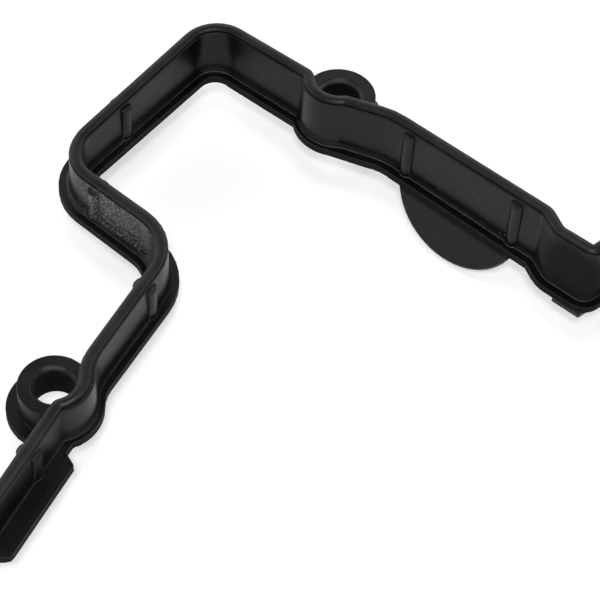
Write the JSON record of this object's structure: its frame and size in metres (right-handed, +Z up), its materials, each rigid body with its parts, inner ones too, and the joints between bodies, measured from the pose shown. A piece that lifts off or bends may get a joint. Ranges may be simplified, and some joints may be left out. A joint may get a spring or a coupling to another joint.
{
  "type": "valve cover gasket",
  "caption": "Black moulded rubber gasket ring with a beaded sealing wall, bolt bosses and a half-moon plug that seals a valve cover to a cylinder head.",
  "frame": {"origin": "middle of the outline seen from above, at the half-moon plug's lowest point", "axes": "+Z up from the flange to the bead, +X along the top left run, +Y along the left run, away from the far end"},
  "size_m": [0.2488, 0.2754, 0.0461],
  "materials": {
    "rubber": "satin moulded"
  },
  "bodies": {
    "root": {"gasket": "rubber"}
  },
  "joints": []
}
